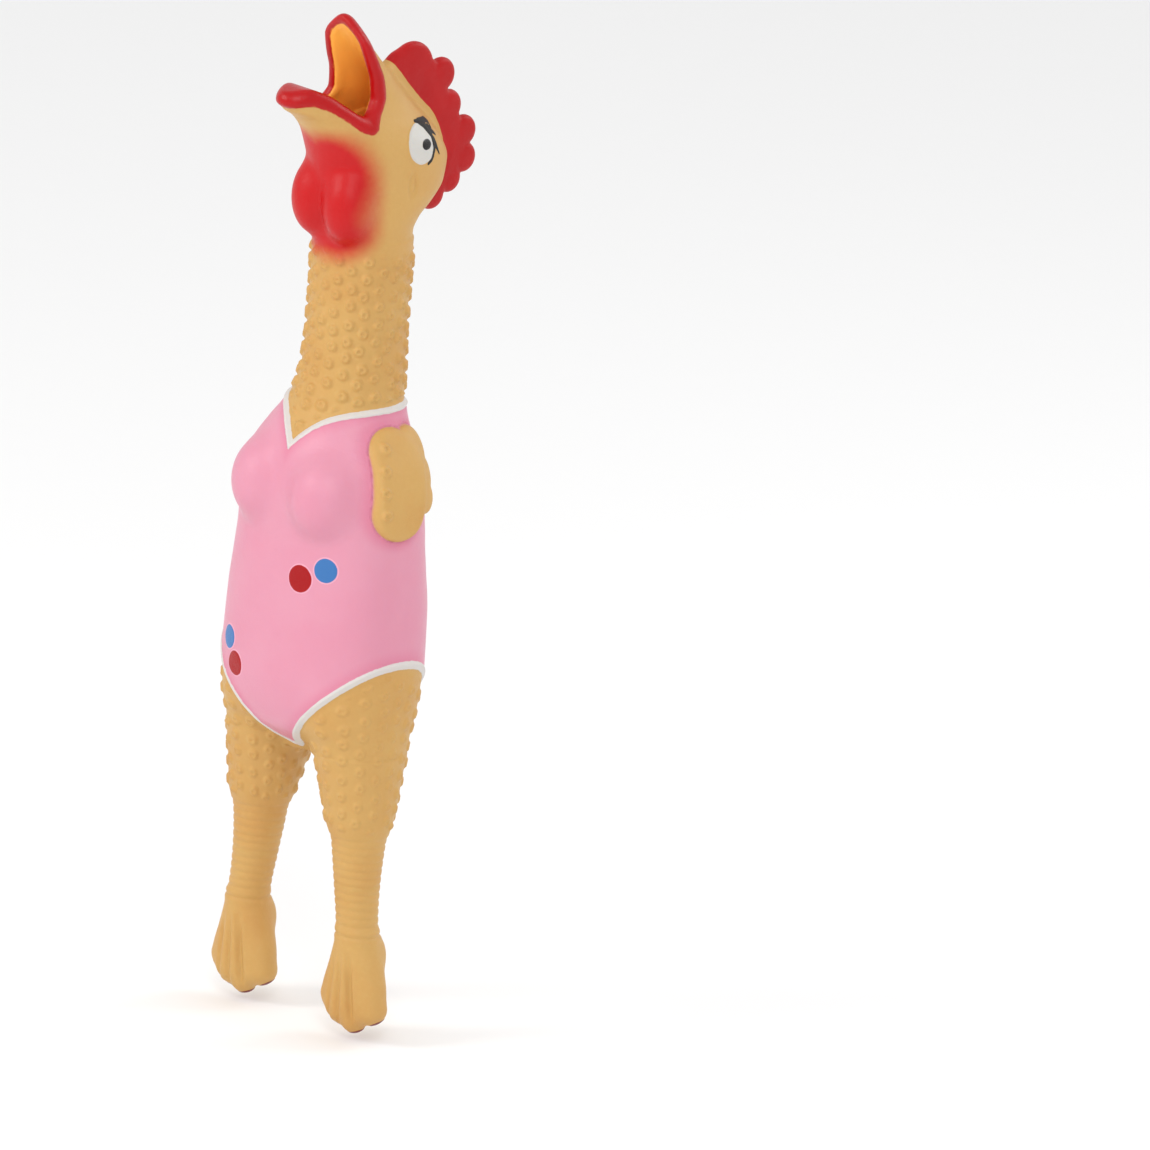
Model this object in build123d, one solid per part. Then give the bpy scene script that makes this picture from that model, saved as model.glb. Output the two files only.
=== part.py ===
from build123d import *
import math
import os

# A latex rubber chicken in a painted swimsuit, with its voice box in the throat.
# The real toy is one hollow latex moulding. It is cut here into the zones that bend on their own: each zone
# is a hollow shell, and a short flex sleeve of the same latex joins it to the next one.
# X is the chicken's left, -Y is where it faces, Z is up. All sizes are in millimetres.
# Heights are above the toe tips, and depths are from the neck's axis, until place() moves the origin to the
# middle of the belly, where a hand holds and squeezes the toy.

# ---------------------------------------------------------------- driving dimensions
WALL = 2.0  # latex thickness
FLOOR = 5.0  # thickness of the crotch, between the leg openings
GRIP_HEIGHT = 205.0  # the middle of the belly
GRIP_DEPTH = -5.0
GAP = 0.4  # between soft pieces of different bodies

NECKLINE_V = 265.5  # lowest point of the swimsuit's neckline, at the front
NECKLINE_SIDE = 284.0
NECK_SLEEVE_TOP = 312.0
HEAD_SLEEVE_BOTTOM = 341.0
HEAD_SLEEVE_TOP = 358.0

LEG_SPLAY = 32.5  # the legs stand this far to each side at the knee
LEG_OPENING_LOW = (15.0, 131.0)  # X and height where the leg opening leaves the crotch panel
LEG_OPENING_HIGH = (51.5, 165.0)  # and where it reaches the hip
HIP_SLEEVE_LOW = 108.0
KNEE_SLEEVE = (85.0, 97.0)
ANKLE_SLEEVE = (43.0, 53.0)

PIPING_PROUD = 0.9
SPOT_PROUD = 0.45
SPOT_RADIUS = 5.2
# Each spot: distance to the side, height, and facing (-1 is the belly, +1 the back).
RED_SPOTS = [(21.0, 206.0, -1), (-15.5, 163.5, -1), (-24.0, 222.0, 1), (20.0, 176.0, 1)]
BLUE_SPOTS = [(31.5, 211.0, -1), (-21.5, 175.0, -1), (-32.0, 213.0, 1), (12.0, 186.0, 1)]

HINGE_JAW = (-20.0, 417.0)  # depth and height of the mouth's corners, where the lower beak bends

# Cross-sections: height, half width, half depth, and the depth of the middle.
TRUNK = [
    (120.0, 30.0, 22.0, -5.0),
    (133.0, 43.0, 31.0, -5.0),
    (148.0, 49.5, 36.0, -5.0),
    (166.0, 52.0, 38.0, -5.0),
    (195.0, 50.5, 37.5, -5.5),
    (226.0, 48.5, 36.5, -7.0),
    (249.0, 47.5, 39.0, -10.0),
    (264.0, 43.0, 36.0, -9.0),
    (275.0, 37.0, 31.0, -6.0),
    (285.0, 31.0, 27.0, -3.0),
    (296.0, 26.4, 25.0, -0.6),
    (312.0, 23.6, 23.6, 0.0),
]
NECK = [(312.0, 23.6), (322.0, 23.0), (341.0, 22.7), (358.0, 22.9)]  # height and radius
HEAD = [
    (358.0, 22.9, 22.9, 0.0),
    (366.0, 23.1, 24.4, 0.6),
    (376.0, 23.4, 28.5, 2.0),
    (388.0, 24.0, 34.0, 4.0),
    (400.0, 24.4, 36.0, 4.0),
    (411.0, 24.2, 34.5, 3.0),
    (420.0, 23.0, 30.0, 0.0),
    (430.0, 20.5, 22.5, -5.0),
    (440.0, 18.0, 17.5, -10.0),
    (450.0, 15.5, 13.5, -14.0),
    (460.0, 12.0, 9.5, -18.0),
    (466.0, 8.5, 6.5, -21.0),
    (470.0, 4.5, 3.5, -23.0),
]
# Height, half width, half depth, and how far the middle stands from the knee's distance to the side.
LEG = [
    (170.0, 23.5, 33.0, -5.0),
    (150.0, 22.8, 29.0, -5.0),
    (135.0, 22.0, 25.0, -4.0),
    (120.0, 20.5, 22.5, -3.5),
    (106.0, 17.0, 18.5, -2.0),
    (97.0, 14.2, 15.2, -0.5),
    (91.0, 12.6, 13.2, 0.0),
    (80.0, 11.6, 11.8, 0.2),
    (60.0, 10.2, 10.3, 1.0),
    (48.0, 9.9, 10.0, 2.0),
    (40.0, 11.0, 10.2, 2.5),
]
LEG_DEPTH = -4.0
FOOT = [
    (43.0, 10.6, 10.2, 2.3),
    (34.0, 13.0, 10.8, 2.6),
    (22.0, 16.6, 11.6, 3.0),
    (12.0, 16.4, 11.0, 3.0),
]
FOOT_MIDDLE = 3.0  # the foot's middle stands this much further out than the knee
# Each toe's rounded tip: offset to the side, half width, and offset in depth.
TOES = [(-10.8, 5.6, -3.0), (-3.8, 5.8, -5.6), (3.6, 5.8, -5.2), (10.4, 5.8, -1.0)]
TOE_HEIGHT = 12.0  # the middle of each tip
TOE_REACH = 12.9  # from there down to a toe's end, on the foot's middle line
FOOT_WALL = 2.8
NAIL_THICK = 0.35
TOE_RISE = 0.25  # the outer toes are shorter by this share of their offset


# ---------------------------------------------------------------- helpers
def oval(height, half_x, half_y, y=0.0, x=0.0):
    """An ellipse in a level plane."""
    return Plane.XY.offset(height) * Pos(x, y) * Ellipse(half_x, half_y)


def trunk_loft(grow=0.0):
    """The torso and neck as one closed form, grown by an even margin."""
    return loft([oval(z, a + grow, b + grow, y) for z, a, b, y in TRUNK])


def leg_loft(side, sections, grow=0.0):
    """A leg or foot as one closed form, on the side +1 or -1."""
    return loft(
        [oval(z, a + grow, b + grow, LEG_DEPTH, side * (LEG_SPLAY + dx)) for z, a, b, dx in sections]
    )


def neck_shell(low, high):
    """The neck's wall between two of its heights, turned about the neck's axis."""
    stretch = [(radius, z) for z, radius in NECK if low <= z <= high]
    inner = [(radius - WALL, z) for radius, z in reversed(stretch)]
    return revolve(Plane.XZ * make_face(Polyline(*stretch, *inner, stretch[0])), Axis.Z)


def slab(low, high, reach=200.0):
    """Everything between two heights."""
    return Pos(0, 0, (low + high) / 2) * Box(reach, reach, high - low)


def place(shape):
    """Moves a shape from the toe-tip heights to the grip's origin."""
    return Pos(0, -GRIP_DEPTH, -GRIP_HEIGHT) * shape


def write(name, *shapes):
    """One node, as one file, holding one or more separate solids."""
    solids = [s for shape in shapes for s in shape.solids()]
    moved = [place(s) for s in solids]
    export_step(moved[0] if len(moved) == 1 else Compound(moved), f"parts/{name}.step")


def mirrored(shape):
    """The same shape on the chicken's other side."""
    return mirror(shape, about=Plane.YZ)


# ---------------------------------------------------------------- cutting forms
def above_neckline():
    """The space above the V-shaped neckline, which runs level round the back."""
    far = 90.0
    mid_x = 11.0
    mid_z = 275.5
    edge_x = 34.0
    top = 420.0
    left, right = (-edge_x, NECKLINE_SIDE), (edge_x, NECKLINE_SIDE)
    tip = (0, NECKLINE_V)
    profile = (
        Polyline(left, (-far, NECKLINE_SIDE), (-far, top), (far, top), (far, NECKLINE_SIDE), right)
        + ThreePointArc(right, (mid_x, mid_z), tip)
        + ThreePointArc(tip, (-mid_x, mid_z), left)
    )
    front = extrude(Plane.XZ * make_face(profile), amount=far)
    back = Pos(0, far / 2, (NECKLINE_SIDE + top) / 2) * Box(2 * far, far, top - NECKLINE_SIDE)
    return front + back


def leg_opening_space(side, shift=0.0):
    """The space below one leg opening's slanted plane, shifted down along the plane's normal."""
    run = LEG_OPENING_HIGH[0] - LEG_OPENING_LOW[0]
    rise = LEG_OPENING_HIGH[1] - LEG_OPENING_LOW[1]
    slope = math.atan2(rise, run)
    size = 200.0
    block = Pos(0, 0, -size / 2 - shift) * Box(2 * size, size, size)
    tilted = Pos(LEG_OPENING_LOW[0], 0, LEG_OPENING_LOW[1]) * Rot(0, -math.degrees(slope), 0) * block
    return tilted if side > 0 else mirrored(tilted)


# ---------------------------------------------------------------- torso
def torso_skin(outer, inner, neck_space):
    """The painted swimsuit's zone, open at the neck and at both legs."""
    shell = outer - inner
    shell = shell - neck_space
    for side in (1, -1):
        shell = shell - leg_opening_space(side)
    return shell


def neckline_piping(outer, neck_space):
    """A raised painted bead along the neckline."""
    width = 2.6
    band = (Pos(0, 0, -width) * neck_space) - neck_space
    return (trunk_loft(PIPING_PROUD) & band) - outer


def leg_piping(outer, side):
    """A raised painted bead along one leg opening."""
    width = 2.4
    band = leg_opening_space(side, -width) - leg_opening_space(side)
    own_side = Pos(side * 101, 0, 200) * Box(200, 400, 400)
    return (trunk_loft(PIPING_PROUD) & (band & own_side)) - outer


def spot(outer, proud, x, height, facing):
    """A round painted spot on the belly (facing -1) or on the back (facing +1)."""
    width, depth, middle = 50.5, 37.5, GRIP_DEPTH
    lean = math.degrees(math.asin(x / width))
    reach = Pos(x, middle + facing * depth * math.cos(math.radians(lean)), height)
    # A short peg along the surface's own direction, trimmed to the skin between two offsets.
    turn = math.degrees(math.atan2(x / width**2, math.cos(math.radians(lean)) / depth))
    peg = Rot(90, 0, turn if facing < 0 else -turn) * Cylinder(SPOT_RADIUS, 12)
    return (proud & (reach * peg)) - outer


# ---------------------------------------------------------------- head
def head_loft(grow=0.0):
    """The head and upper beak as one closed form."""
    return loft([oval(z, max(a + grow, 1.0), max(b + grow, 1.0), y) for z, a, b, y in HEAD])


# Depth and height of the chin's top, from the back to the front.
CHIN_LINE = [(-18.0, 414.0), (-32.0, 405.0), (-46.0, 399.0)]


def above_chin(clear):
    """The space over the chin, where the lower beak has room to bend."""
    line = [(y - clear, z + clear) for y, z in CHIN_LINE]
    top = 450.0
    front = -90.0
    outline = Polyline(*line, (front, line[-1][1]), (front, top), (line[0][0], top), line[0])
    return extrude(Plane.YZ * make_face(outline), amount=60, both=True)


def mouth_front(depth_shift=0.0):
    """The space in front of the gape, from the mouth's corners to the upper beak's tip."""
    y_corner, z_corner = HINGE_JAW
    outline = Polyline(
        (y_corner + 2 + depth_shift, z_corner - 3),
        (y_corner + 8 + depth_shift, z_corner + 11),
        (y_corner + 4 + depth_shift, z_corner + 30),
        (-23.5 + depth_shift, 466),
        (-90, 480),
        (-90, CHIN_LINE[2][1]),
        *reversed(CHIN_LINE[1:]),
        (y_corner + 2 + depth_shift, z_corner - 3),
    )
    return extrude(Plane.YZ * make_face(outline), amount=60, both=True)


THROAT_FLOOR = 391.0  # the latex web that holds the voice box
WEB = 3.0
MOUTH = [
    (THROAT_FLOOR, 15.0, 17.0, -1.0),
    (400.0, 19.8, 25.0, 0.0),
    (411.0, 20.4, 27.0, 0.0),
    (420.0, 19.6, 25.0, -2.0),
    (430.0, 17.2, 18.5, -6.5),
    (440.0, 14.8, 13.5, -11.5),
    (450.0, 12.2, 10.0, -15.5),
    (460.0, 8.5, 6.5, -19.5),
    (465.0, 4.0, 4.0, -22.0),
]


def head_skin():
    """The head from its sleeve up to the upper beak, with the mouth, the throat web and the web's bore."""
    outer = head_loft() & slab(HEAD_SLEEVE_TOP, 475)
    mouth = loft([oval(z, a, b, y) for z, a, b, y in MOUTH])
    lower = [(z, a - WALL, b - WALL, y) for z, a, b, y in HEAD if z < THROAT_FLOOR - WEB]
    top = THROAT_FLOOR - WEB
    chamber = loft([oval(z, a, b, y) for z, a, b, y in lower] + [oval(top, 21.0, 28.0, 3.0)])
    bore = Pos(0, 0, THROAT_FLOOR - WEB / 2) * Cylinder(HOUSING_RADIUS, WEB * 3)
    seat = sideways_disc(EYE_RADIUS, EYE_SEAT, 8.0, *EYE)
    return outer - mouth - chamber - bore - mouth_front() - seat - mirrored(seat)


# Each lobe of the comb: depth, height and radius.
COMB_LOBES = [
    (16.0, 439.0, 12.0),
    (34.0, 434.0, 10.5),
    (46.0, 424.0, 9.0),
    (52.5, 410.5, 9.5),
    (52.0, 396.0, 9.0),
    (46.0, 384.0, 8.5),
    (37.0, 376.5, 7.5),
]
COMB_THICK = 6.5


def comb(head_outer):
    """The comb: a thick plate with seven round lobes, on the head's back."""
    edge = [(0, 440), (12, 446), (30, 440), (42, 426), (50, 411), (50, 396), (44, 382), (36, 372)]
    inside = [(22, 374), (10, 400)]
    plate = make_face(Polyline(*edge, *inside, edge[0]))
    for y, z, radius in COMB_LOBES:
        plate = plate + Pos(y, z) * Circle(radius)
    solid = extrude(Plane.YZ * plate, amount=COMB_THICK / 2, both=True)
    return solid - head_outer


EYE = (11.0, 410.0)  # depth and height of the eye's middle
EYE_RADIUS = 9.2
PUPIL_RADIUS = 2.6
EYE_SEAT = 21.4  # the eye's flat back is this far from the middle of the head
EYE_SWELL = 24.0  # radius of its domed face
EYE_PROUD = 26.0


def sideways_disc(radius, start, thick, y, z):
    """A round disc whose axis runs along X, from start outward."""
    return Pos(start + thick / 2, y, z) * Rot(0, 90, 0) * Cylinder(radius, thick)


def eye_dome(grow=0.0):
    """The ball whose surface is the eye's face."""
    return Pos(EYE_PROUD - EYE_SWELL, *EYE) * Sphere(EYE_SWELL + grow)


def eye():
    """A domed white disc moulded on the head's left side, in a shallow seat."""
    centre = EYE_PROUD - EYE_SWELL
    half_turn = math.asin(EYE_RADIUS / EYE_SWELL) / 2
    edge = (centre + math.sqrt(EYE_SWELL**2 - EYE_RADIUS**2), EYE_RADIUS)
    middle = (centre + EYE_SWELL * math.cos(half_turn), EYE_SWELL * math.sin(half_turn))
    sides = Polyline((EYE_PROUD, 0), (EYE_SEAT, 0), (EYE_SEAT, EYE_RADIUS), edge)
    face = ThreePointArc(edge, middle, (EYE_PROUD, 0))
    return Pos(0, *EYE) * revolve(Plane.XY * make_face(sides + face), Axis.X)


def pupil():
    """The painted pupil, a thin disc on the eye."""
    disc = sideways_disc(PUPIL_RADIUS, EYE_SEAT + 2, 6.0, EYE[0] + 3.2, EYE[1] - 0.5)
    return (disc & eye_dome(0.3)) - eye_dome()


def eyelash(head_outer):
    """The painted lid and lashes, a thin crescent behind the eye."""
    outer = sideways_disc(EYE_RADIUS + 1.8, EYE_SEAT - 4, 8.0, *EYE)
    inner = sideways_disc(EYE_RADIUS + 0.2, EYE_SEAT - 5, 10.0, *EYE)
    behind = Pos(EYE_SEAT, EYE[0] + 21, EYE[1] + 3) * Box(20, 40, 24)
    return (((outer - inner) & behind) & head_loft(0.5)) - head_outer


def wattle(head_outer, jaw_space):
    """One of the two red lobes under the beak."""
    lobe = Pos(10.5, -26.0, 384.0) * scale(Sphere(1), (12.0, 15.0, 22.0))
    half = Pos(50.2, 0, 384) * Box(100, 200, 100)
    neck_space = Pos(0, 0, HEAD_SLEEVE_TOP - 15) * Cylinder(NECK[-1][1] + GAP, 31)
    return (lobe & half) - head_outer - jaw_space - neck_space


# ---------------------------------------------------------------- beak
LIP_WIDTH = 5.0
LIP_PROUD = 2.4
JAW_WALL = 2.6
JAW_RISE = 16.0  # from the corner of the mouth to the lower beak's tip
JAW_LENGTH = 38.0
JAW_CLEAR_RADIUS = 9.0  # nothing of the lower beak lies nearer to the axis it bends about


def jaw_form(grow, floor_grow=0.0):
    """The lower beak's scoop as a closed form: it narrows to a point in front."""
    plan = [(0.0, 20.2), (0.3, 18.6), (0.6, 15.0), (0.85, 10.5), (1.0, 6.5)]
    sections = []
    for share, half in plan:
        y = HINGE_JAW[0] - JAW_LENGTH * share
        top = HINGE_JAW[1] + JAW_RISE * share
        drop = 15.0 - 6.0 * share + floor_grow
        ellipse = Ellipse(half + grow, drop + grow)
        lower = ellipse & (Pos(0, -50) * Rectangle(100, 100))
        sections.append(Plane.XZ.offset(-y) * Pos(0, top) * lower)
    return loft(sections)


def lower_beak_skin(hinge_round):
    """The lower beak: an open scoop that bends at the mouth's corners."""
    return ((jaw_form(0.0) & above_chin(0.6)) - (Pos(0, 0, 0.01) * jaw_form(-JAW_WALL))) - hinge_round


def beak_web(hinge_round, head_solid):
    """The latex at the mouth's corners, which folds when the lower beak bends."""
    return ((jaw_form(0.0) - (Pos(0, 0, 0.01) * jaw_form(-JAW_WALL))) & hinge_round) - head_solid


def hinge_cylinder(radius):
    """A bar along the mouth's corners, which clears what turns about them."""
    return Pos(0, *HINGE_JAW) * Rot(0, 90, 0) * Cylinder(radius, 120)


def upper_beak_lip(head_outer):
    """A raised red rim round the upper beak, along its cut edge."""
    band = mouth_front(LIP_WIDTH) - mouth_front()
    low = slab(HINGE_JAW[1] + 9.5, 465)
    return (head_loft(LIP_PROUD) & (band & low)) - head_outer


def lower_beak_lip(hinge_round):
    """A raised red rim round the lower beak, flush with its open top."""
    slope = math.degrees(math.atan2(JAW_RISE, JAW_LENGTH))
    band = Pos(0, *HINGE_JAW) * Rot(-slope, 0, 0) * Pos(0, -50, -LIP_WIDTH / 2) * Box(80, 100, LIP_WIDTH)
    return ((jaw_form(LIP_PROUD) & band) - jaw_form(0.0)) - hinge_round


# ---------------------------------------------------------------- voice box
HOUSING_RADIUS = 9.6
HOUSING_WALL = 1.7
HOUSING_LOW = 363.0
FLANGE_RADIUS = 12.0
FLANGE_THICK = 1.6
BORE_RADIUS = HOUSING_RADIUS - HOUSING_WALL
PORT_RADIUS = 2.5


def voice_box_housing():
    """The plastic tube in the throat, with a flange that sits on the latex web."""
    length = THROAT_FLOOR - HOUSING_LOW
    tube = Pos(0, 0, HOUSING_LOW + length / 2) * Cylinder(HOUSING_RADIUS, length)
    flange = Pos(0, 0, THROAT_FLOOR + FLANGE_THICK / 2) * Cylinder(FLANGE_RADIUS, FLANGE_THICK)
    bore = Pos(0, 0, (HOUSING_LOW + THROAT_FLOOR) / 2) * Cylinder(BORE_RADIUS, length * 2)
    return tube + flange - bore


def voice_box_cap():
    """The grille that closes the housing towards the mouth."""
    cap = Pos(0, 0, THROAT_FLOOR) * Cylinder(BORE_RADIUS, 2.4)
    cap = cap - Pos(0, 0, THROAT_FLOOR) * Cylinder(PORT_RADIUS, 6)
    for turn in range(6):
        cap = cap - Rot(0, 0, 60 * turn) * Pos(5.2, 0, THROAT_FLOOR) * Cylinder(1.1, 6)
    return cap


REED_ROOT = 369.4
REED_TIP = 384.0
REED_FACE = -0.6  # depth of the block's flat face, which the reed beats on


def reed_block():
    """The plug and the half-round shallot that the reed lies on, with its air channel."""
    plug_high = 368.0
    plug = Pos(0, 0, (HOUSING_LOW + plug_high) / 2) * Cylinder(BORE_RADIUS, plug_high - HOUSING_LOW)
    shallot = Pos(0, 0, (HOUSING_LOW + REED_TIP + 1) / 2) * Cylinder(4.6, REED_TIP + 1 - HOUSING_LOW)
    front = Pos(0, REED_FACE - 10, (plug_high + 400) / 2) * Box(40, 20, 400 - plug_high)
    low = HOUSING_LOW - 2
    high = REED_TIP - 1
    channel = Pos(0, 1.6, (low + high) / 2) * Cylinder(1.7, high - low)
    slot = Pos(0, REED_FACE + 1, (REED_ROOT + 3 + REED_TIP - 2) / 2) * Box(2.6, 4, REED_TIP - REED_ROOT - 5)
    return plug + (shallot - front) - channel - slot


def reed():
    """The thin plastic tongue that beats on the shallot."""
    thick = 0.3
    stand_off = 0.55
    middle = REED_FACE - stand_off - thick / 2
    return Pos(0, middle, (REED_ROOT + REED_TIP) / 2) * Box(5.4, thick, REED_TIP - REED_ROOT)


def reed_clamp():
    """The wedge that pins the reed's root."""
    high = REED_ROOT - 0.3
    return Pos(0, REED_FACE - 1.7, (368.0 + high) / 2) * Box(6.0, 3.2, high - 368.0)


# ---------------------------------------------------------------- wings
def wing_outline(shrink=0.0):
    """The wing seen from the side: a long front lobe and a shorter rear one."""
    front = Pos(-13.0, 252.0) * Ellipse(10.5 - shrink, 27.0 - shrink)
    rear = Pos(1.0, 258.0) * Ellipse(10.5 - shrink, 19.5 - shrink)
    top = Pos(-8.0, 268.0) * Ellipse(13.0 - shrink, 11.0 - shrink)
    return front + rear + top


def wing(trunk_outer):
    """The left wing: a padded relief moulded on the side of the torso."""
    wide = extrude(Plane.YZ.offset(20) * wing_outline(), amount=32)
    crown = extrude(Plane.YZ.offset(20) * wing_outline(2.5), amount=35)
    return (wide + crown) - trunk_outer


# ---------------------------------------------------------------- legs and feet
def hollow_leg(side):
    """One leg's shell over its whole length, open at both ends."""
    first, *between, last = LEG
    beyond = 6.0
    core = [(first[0] + beyond, *first[1:]), *between, (last[0] - beyond, *last[1:])]
    return leg_loft(side, LEG) - leg_loft(side, core, -WALL)


def toe_tip(side, toe, grow=0.0):
    """The rounded end of one toe, as a closed form."""
    aside, radius, depth = toe
    reach = TOE_REACH - abs(aside) * TOE_RISE
    middle = Pos(side * (LEG_SPLAY + FOOT_MIDDLE) + aside, LEG_DEPTH + depth, TOE_HEIGHT)
    return middle * scale(Sphere(1), (radius + grow, radius + 0.6 + grow, reach + grow))


def foot(side):
    """A webbed foot with four toes that hang down, hollow to its middle."""
    body = leg_loft(side, FOOT)
    for toe in TOES:
        body = body + toe_tip(side, toe)
    body = body & slab(0, ANKLE_SLEEVE[0])
    top, *below = FOOT
    hollow = leg_loft(side, [(top[0] + 3, *top[1:]), *below], -FOOT_WALL)
    return body - hollow


def toenails(side, foot_solid):
    """Four painted nails: thin caps over the toe tips, at the back."""
    nails = []
    for toe in TOES:
        aside, _, depth = toe
        end = TOE_HEIGHT - TOE_REACH + abs(aside) * TOE_RISE
        x = side * (LEG_SPLAY + FOOT_MIDDLE) + aside
        window = Pos(x, LEG_DEPTH + depth + 6.0, end + 4.0) * Box(6.0, 9.0, 6.0)
        nails.append((toe_tip(side, toe, NAIL_THICK) & window & slab(0.2, 30)) - foot_solid)
    return nails


# ---------------------------------------------------------------- build
os.makedirs("parts", exist_ok=True)

trunk_outer = trunk_loft()
inner_sections = [(z + FLOOR if z == TRUNK[0][0] else z, a - WALL, b - WALL, y) for z, a, b, y in TRUNK]
trunk_inner = loft([oval(*s) for s in inner_sections])
neck_space = above_neckline()
trunk_shell = trunk_outer - trunk_inner

write("torso_skin", torso_skin(trunk_outer, trunk_inner, neck_space))
write("neckline_piping", neckline_piping(trunk_outer, neck_space))
write("leg_piping_left", leg_piping(trunk_outer, 1))
write("leg_piping_right", leg_piping(trunk_outer, -1))

spot_form = trunk_loft(SPOT_PROUD)
write("red_spots", *[spot(trunk_outer, spot_form, *s) for s in RED_SPOTS])
write("blue_spots", *[spot(trunk_outer, spot_form, *s) for s in BLUE_SPOTS])

write("neck_base_sleeve", trunk_shell & neck_space)
write("neck_skin", neck_shell(NECK_SLEEVE_TOP, HEAD_SLEEVE_BOTTOM))
write("head_base_sleeve", neck_shell(HEAD_SLEEVE_BOTTOM, HEAD_SLEEVE_TOP))

head_outer = head_loft()
jaw_clear = jaw_form(GAP + 0.2, 1.4)
head_solid = head_skin()
write("head_skin", head_solid)
write("comb", comb(head_outer))
left_wattle = wattle(head_outer, jaw_clear)
face = (("eye", eye()), ("pupil", pupil()), ("eyelash", eyelash(head_outer)), ("wattle", left_wattle))
for name, shape in face:
    write(f"{name}_left", shape)
    write(f"{name}_right", mirrored(shape))

jaw_round = hinge_cylinder(JAW_CLEAR_RADIUS)
write("lower_beak_skin", lower_beak_skin(jaw_round))
write("beak_web", beak_web(jaw_round, head_solid))
write("upper_beak_lip", upper_beak_lip(head_outer))
write("lower_beak_lip", lower_beak_lip(jaw_round))

write("voice_box_housing", voice_box_housing())
write("voice_box_cap", voice_box_cap())
write("reed_block", reed_block())
write("reed_clamp", reed_clamp())
write("reed", reed())

left_wing = wing(trunk_outer)
write("wing_left", left_wing)
write("wing_right", mirrored(left_wing))

for side, name in ((1, "left"), (-1, "right")):
    shell = hollow_leg(side)
    opening = leg_opening_space(side)
    write(f"hip_sleeve_{name}", (shell & opening) & slab(HIP_SLEEVE_LOW, 200))
    write(f"thigh_{name}", shell & slab(KNEE_SLEEVE[1], HIP_SLEEVE_LOW))
    write(f"knee_sleeve_{name}", shell & slab(*KNEE_SLEEVE))
    write(f"shank_{name}", shell & slab(ANKLE_SLEEVE[1], KNEE_SLEEVE[0]))
    write(f"ankle_sleeve_{name}", shell & slab(*ANKLE_SLEEVE))
    foot_solid = foot(side)
    write(f"foot_{name}", foot_solid)
    write(f"toenails_{name}", *toenails(side, foot_solid))
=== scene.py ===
import math

import bpy
import numpy as np
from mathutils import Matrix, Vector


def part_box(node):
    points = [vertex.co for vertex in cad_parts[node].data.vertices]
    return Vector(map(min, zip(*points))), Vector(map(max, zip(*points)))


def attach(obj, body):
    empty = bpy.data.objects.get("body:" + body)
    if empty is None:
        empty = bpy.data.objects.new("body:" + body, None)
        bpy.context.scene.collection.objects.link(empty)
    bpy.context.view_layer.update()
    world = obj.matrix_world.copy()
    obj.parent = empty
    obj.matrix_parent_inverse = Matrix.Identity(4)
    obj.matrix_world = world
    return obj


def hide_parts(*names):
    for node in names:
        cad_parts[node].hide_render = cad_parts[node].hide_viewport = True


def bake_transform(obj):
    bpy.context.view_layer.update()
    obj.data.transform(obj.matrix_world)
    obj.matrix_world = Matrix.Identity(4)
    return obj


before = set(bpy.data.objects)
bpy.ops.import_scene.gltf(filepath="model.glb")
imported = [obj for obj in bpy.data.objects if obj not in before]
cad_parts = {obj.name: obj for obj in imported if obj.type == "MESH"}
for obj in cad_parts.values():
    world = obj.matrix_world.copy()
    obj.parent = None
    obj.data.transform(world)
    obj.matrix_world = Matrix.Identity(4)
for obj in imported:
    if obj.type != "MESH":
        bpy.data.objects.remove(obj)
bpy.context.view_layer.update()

import openvdb
from mathutils import Matrix, Vector

# The rubber chicken's skin is one latex moulding, so it is made as one closed surface: a field of signed
# distances is built up from soft forms, meshed, given its moulded relief, and then shared out to the bodies.
# The forms are in millimetres. X is the chicken's left, and -Y is where it faces. Heights are above the toe
# tips, and depths are from the neck's axis. place() turns them into the frame's metres.

MM = 0.001
NECK_NODE_LOW = 312.0  # height of the neck node's lower end above the toe tips
STEP = 0.72  # the field's grid
FAR = 99.0  # farther than any distance that matters
NOWHERE = -9.0  # a paint's distance where it can't be
PAINT_REACH = 12.0  # paint distances are kept within this
SEED = 11

neck_box = [Vector(corner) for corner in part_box("neck_skin")]
ORIGIN = np.array([
    (neck_box[0].x + neck_box[1].x) / 2,
    (neck_box[0].y + neck_box[1].y) / 2,
    neck_box[0].z - NECK_NODE_LOW * MM,
])


def place(points):
    """Millimetre points as metres in the frame."""
    return np.asarray(points, float) * MM + ORIGIN


# ---------------------------------------------------------------- driving dimensions
NECK_RADIUS = 22.7
LEG_SPLAY = 32.0
FOOT_SPLAY = 36.4
FOOT_DEPTH = -3.0
WALL = 4.3  # thickness of the beak's walls at the rim
THROAT_FLOOR = 391.0
LIP_THICK = 3.1
LIP_WIDE = 3.7
LIP_SINK = 1.3  # how deep the lip's middle lies under the beak's outside
LIP_INTO_GAPE = 1.2
LIP_LOW = 408.0  # the lips go no lower than this
LIP_PAINT_OVER = 0.25  # the red reaches this far past the lip
LIP_PAINT_DEEP = 3.4  # and this far into the mouth
MOUTH_PAINT_IN = 2.2  # the mouth's colour starts this deep
MOUTH_PAINT_LOW = 380.0
GAPE_CORNER = 3.0
# The rims slope, so a millimetre along an axis is this much across the lower and the upper rim.
GAPE_LEAN = (0.92, 0.96)
# The upper beak's domed tip: height, depth, how fast it falls off to the side and fore and aft, and the radii
# within which it is nearly flat.
TIP_TOP = 467.6
TIP_DEPTH = -24.5
TIP_FALL = (1.0, 0.65)
TIP_ROUND = (5.0, 6.0)

NECKLINE_LOW = 269.6  # the V's point, at the front
NECKLINE_RISE = 19.0
NECKLINE_TURN = 25.0  # degrees round the neck in which most of the rise happens
HEM_LOW = 124.7  # the leg openings' planes rise at 45 degrees from here
HEM_PROUD = 0.85
PIPING_HALF = 1.35
PIPING_PROUD = 0.75

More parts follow.
